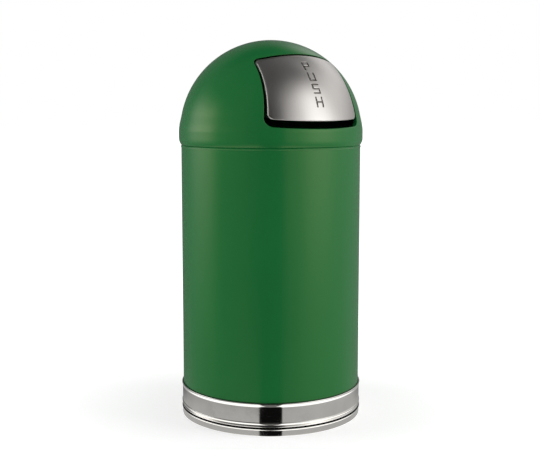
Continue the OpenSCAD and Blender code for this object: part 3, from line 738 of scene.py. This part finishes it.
def makeSpring(c, side, name, node):
    # a helix about the rod, with a straight arm to the door and a straight tail to the bracket
    front, up = c["axis"]
    steps = c["stepsPerTurn"] * c["turns"]
    turn = np.radians(np.linspace(-90, -90 - 360 * c["turns"], steps + 1))
    first, last = c["start"] + c["wire"], c["start"] + c["length"] - c["wire"]
    along = first + (last - first) * np.linspace(0, 1, steps + 1)
    coil = np.stack([along, -(front + c["radius"] * np.cos(turn)), up + c["radius"] * np.sin(turn)], -1)
    arm = stretch((first, -c["arm"][0], c["arm"][1]), coil[0], 14)[:-1]
    tail = stretch(coil[-1], (last, -c["tail"][0], c["tail"][1]), 5)[1:]
    path = np.concatenate([arm, coil, tail])
    path[:, 0] *= side
    # where the tail is held and the arm pushed are passed along, but build() attaches the spring to neither the
    # dome nor the door
    held, pushed = ((side * x * mm, 0, 0) for x in (last - c["wire"], first + c["wire"]))
    wire = Surface().patch(sweep(path, c["wire"], c["sides"]), loopColumns=True)
    wire.build(name, ("dome", "door", held, pushed), "spring_wire", [node])


makeSpring(spring, -1, "doorSpringLeft", "door_spring_left")
makeSpring(spring, 1, "doorSpringRight", "door_spring_right")
print("springs made")

# the studio that shiny surfaces see: how bright its boxes, walls and table are
studio = {"left": 1.0, "leftGlow": 1.15, "leftWall": 0.10, "right": 0.80, "rightEdge": 0.40, "rightGlow": 0.5,
          "rightWall": 0.33, "rearBox": 0.42, "rearGlow": 0.26, "over": 0.06, "table": 0.43, "tableRight": 0.01,
          "nearTable": 1.35, "stripe": 14.5, "stripeSoft": 0.8, "ambient": 0.94}
# where they fade, in degrees of azimuth or climb: two angles are a slope, four are a hill's rise and fall
angles = {"fade": (-15, -4.5), "fadeNear": (-6.5, -2),
          "leftFront": (-87, -64), "leftSpill": (-85, -25), "leftBack": (-132, -96), "leftTop": (12, 40),
          "leftGlow": (-3, 2, 9, 30), "wallFront": (-34, -20), "wallBack": (-150, -130, -85, -62),
          "wallBackTop": (0, 25), "wallTop": (48, 70),
          "right": (33, 58, 64, 96), "rightEdge": (16, 21, 80, 125), "rightGlow": (-3, 2, 6, 16),
          "rightFront": (16, 19), "rightWall": (16, 52, 105, 155), "rightTop": (33, 63),
          "rear": (88, 116, 160, 178), "rearClimb": (4, 32, 54, 78), "rearGlow": (125, 142, 158, 176),
          "rearGlowClimb": (14, 26, 34, 50), "rearWall": (105, 140), "ceiling": (38, 58),
          "table": (-17.3, -16.0), "tableRight": (30, 48, 64, 90), "nearTable": (-31, -23),
          "stripeTop": (20.0, 45.0), "stripeLow": (-38, -26), "overhead": (15, 75)}


def makeWorld(s):
    # camera rays see white, glossy rays the studio, and all others a plain level that sinks overhead
    world = bpy.data.worlds.new("studioWorld")
    bpy.context.scene.world = world
    world.use_nodes = True
    world.node_tree.nodes.clear()
    g = Graph(world.node_tree)
    # direction as azimuth from the camera's side, right positive, and climb, in degrees
    x, y, z = g.axes(g.node("ShaderNodeTexCoord", out="Generated"))
    turn, degrees = math.radians(view["turn"]), 180 / math.pi
    front = x * math.sin(turn) + y * -math.cos(turn)
    beside = x * math.cos(turn) + y * math.sin(turn)
    azimuth = g.node("ShaderNodeMath", {"operation": "ARCTAN2"}, {0: beside, 1: front}) * degrees
    climb = g.node("ShaderNodeMath", {"operation": "ARCSINE"}, {0: z}) * degrees

    def slope(value, name, start=0.0, end=1.0):
        # from start to end over the two angles
        return g.ease(value, *angles[name], start, end)

    def hill(value, name):
        # rises from 0 over the first two angles and falls back over the last two
        return g.ease(value, *angles[name][:2]) * g.ease(value, *angles[name][2:], 1.0, 0.0)

    fade = slope(climb, "fade", 0.0, 0.56) + slope(climb, "fadeNear", 0.0, 0.44)
    leftBox = slope(azimuth, "leftFront", 0.8, 0.0) + slope(azimuth, "leftSpill", 0.2, 0.0)
    leftBox = leftBox * slope(azimuth, "leftBack") * s["left"]
    leftBox = leftBox * (fade * slope(climb, "leftTop", 1.0, 0.0) + hill(climb, "leftGlow") * s["leftGlow"])
    leftWall = hill(azimuth, "wallBack") * slope(climb, "wallBackTop", 1.0, 0.0)
    leftWall = (slope(azimuth, "wallFront", 1.0, 0.0) + leftWall) * slope(climb, "wallTop", 1.0, 0.3)
    rightBox = hill(azimuth, "rightEdge") * s["rightEdge"] + hill(azimuth, "right") * s["right"]
    rightBox = rightBox * (fade + hill(climb, "rightGlow") * s["rightGlow"])
    rightBox = rightBox + slope(azimuth, "rightFront", 0.0, 0.08) + hill(azimuth, "rightWall") * s["rightWall"]
    rightBox = rightBox * slope(climb, "rightTop", 1.0, 0.03)
    rear = hill(azimuth, "rear") * hill(climb, "rearClimb") * s["rearBox"]
    rear = rear + hill(azimuth, "rearGlow") * hill(climb, "rearGlowClimb") * s["rearGlow"]
    rear = rear + slope(azimuth, "rearWall", 0.0, 0.10)
    room = leftBox + leftWall * s["leftWall"] + rightBox + rear + s["over"]
    # the ceiling behind the object is dark
    room = room * (1 - slope(climb, "ceiling", 0.0, 0.85) * g.ease(front, -0.2, -0.45))
    tableGlow = hill(azimuth, "tableRight") * s["tableRight"] + s["table"]
    near = slope(climb, "nearTable", 1.0, 0.0)
    tableGlow = tableGlow * (1 - near) + near * s["nearTable"]
    table = slope(climb, "table", 1.0, 0.0)
    seen = room * (1 - table) + tableGlow * table
    # a dark upright stripe stands on the camera's side
    stripe = g.window(azimuth, -s["stripe"], s["stripe"], s["stripeSoft"]) * slope(climb, "stripeTop", 1.0, 0.0)
    seen = seen * (1 - stripe * slope(climb, "stripeLow", 0.88, 0.99))
    rays = g.node("ShaderNodeLightPath").socket.node.outputs
    isCamera, isGlossy = Wire(g, rays["Is Camera Ray"]), Wire(g, rays["Is Glossy Ray"])
    level = isGlossy * seen + (1 - isGlossy) * slope(climb, "overhead", 1.0, 0.6) * s["ambient"]
    level = isCamera + (1 - isCamera) * level
    glow = g.node("ShaderNodeBackground", None, {"Color": (1.0, 1.0, 1.0, 1.0), "Strength": level})
    g.node("ShaderNodeOutputWorld", None, {"Surface": glow})
    world.cycles.sampling_method = "NONE"


# soft boxes; azimuth and climb in degrees from the camera's side, away and size in metres, power in watts
lamps = {"softBoxLeft": {"azimuth": -88, "climb": 14, "away": 2.6, "size": (1.6, 1.8), "power": 22},
         "softBoxRight": {"azimuth": 78, "climb": 20, "away": 2.6, "size": (1.8, 1.8), "power": 27}}
aimAt = (0, 0, 0.38)  # the middle of the object


def makeLamp(name, c):
    # a rectangle that stands away from the aim along its azimuth and climb, and faces it
    data = bpy.data.lights.new(name, "AREA")
    data.shape, data.size, data.size_y, data.energy = "RECTANGLE", c["size"][0], c["size"][1], c["power"]
    lamp = bpy.data.objects.new(name, data)
    turn, rise = math.radians(view["turn"] + c["azimuth"]), math.radians(c["climb"])
    towards = np.array([math.sin(turn) * math.cos(rise), -math.cos(turn) * math.cos(rise), math.sin(rise)])
    lamp.location = Vector(np.array(aimAt) + c["away"] * towards)
    lamp.rotation_euler = Vector(c["away"] * towards).to_track_quat("Z", "Y").to_euler()
    lamp.visible_glossy = False
    bpy.context.scene.collection.objects.link(lamp)


ground = {"half": 30.0, "tone": (0.82, 0.82, 0.82, 1.0), "rough": 0.9, "nearGlow": (0.30, 0.30, 0.30),
          "farGlow": (0.60, 0.60, 0.60), "glowFade": (0.25, 1.1)}


def makeFloor(c):
    # one wide square; the camera sees it brighter further out, so that it runs into the white background
    mesh = bpy.data.meshes.new("studioFloor")
    half = c["half"]
    mesh.from_pydata([(-half, -half, 0), (half, -half, 0), (half, half, 0), (-half, half, 0)], [], [(0, 1, 2, 3)])
    floor = bpy.data.objects.new("studioFloor", mesh)
    bpy.context.scene.collection.objects.link(floor)

    def skin(g):
        away = g.node("ShaderNodeVectorMath", {"operation": "LENGTH"}, {0: g.place()}, out="Value")
        glow = g.blend(g.ease(away, *c["glowFade"]), c["nearGlow"], c["farGlow"])
        rays = g.node("ShaderNodeLightPath").socket.node.outputs
        return {"Emission Color": glow, "Emission Strength": Wire(g, rays["Is Camera Ray"])}

    finish("paleFloor", skin, **{"Base Color": c["tone"], "Roughness": c["rough"], "Specular IOR Level": 0.0})
    mesh.materials.append(finishes["paleFloor"])
    floor.visible_glossy = False


makeWorld(studio)
for name, lamp in lamps.items():
    makeLamp(name, lamp)
makeFloor(ground)
print("studio made")
